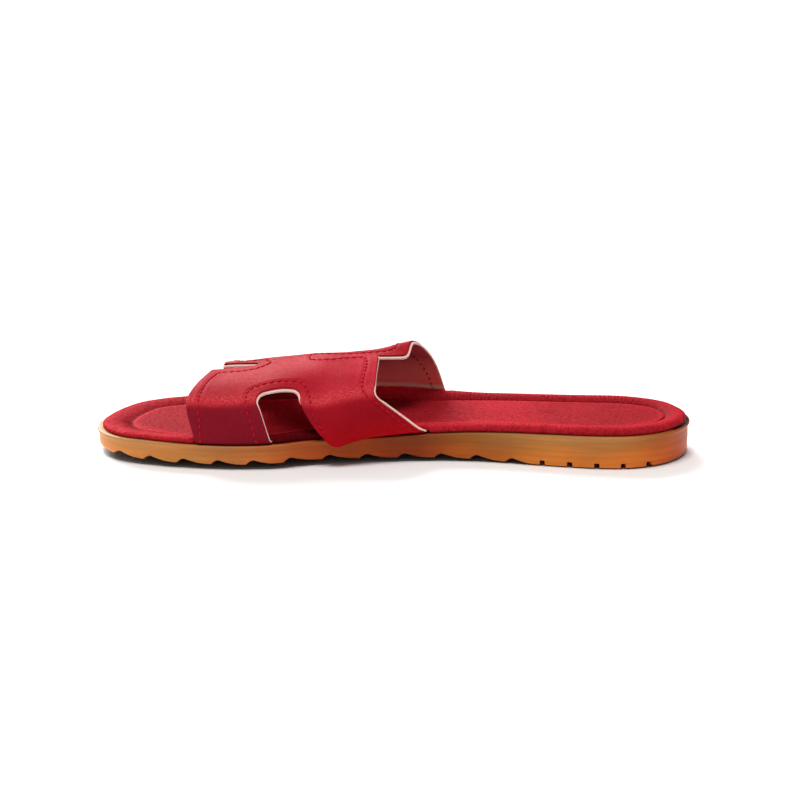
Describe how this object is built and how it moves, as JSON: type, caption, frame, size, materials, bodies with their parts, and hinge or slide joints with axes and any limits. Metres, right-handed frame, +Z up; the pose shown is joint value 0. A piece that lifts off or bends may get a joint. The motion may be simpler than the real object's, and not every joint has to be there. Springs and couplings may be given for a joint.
{
  "type": "slide sandal",
  "caption": "Flat slide sandal for the right foot: a one-piece leather band with cut-outs over a padded insole on a moulded rubber sole.",
  "frame": {"origin": "under the middle of the shoe's box, on the floor that the sole stands on", "axes": "+X from the toe to the heel, +Y from the medial (inner) side to the lateral side, +Z up"},
  "size_m": [0.257, 0.0914, 0.0438],
  "materials": {
    "sole_rubber": "matte moulded gum rubber, tan",
    "insole_leather": "pebbled, soft satin, red",
    "upper_leather": "fine pebbled grain, satin, red",
    "upper_lining": "matte, beige pink",
    "stitch_thread": "twisted sewing thread, dark red"
  },
  "bodies": {
    "root": {"outsole": "sole_rubber", "insole": "insole_leather", "upper": "upper_leather"}
  },
  "joints": []
}
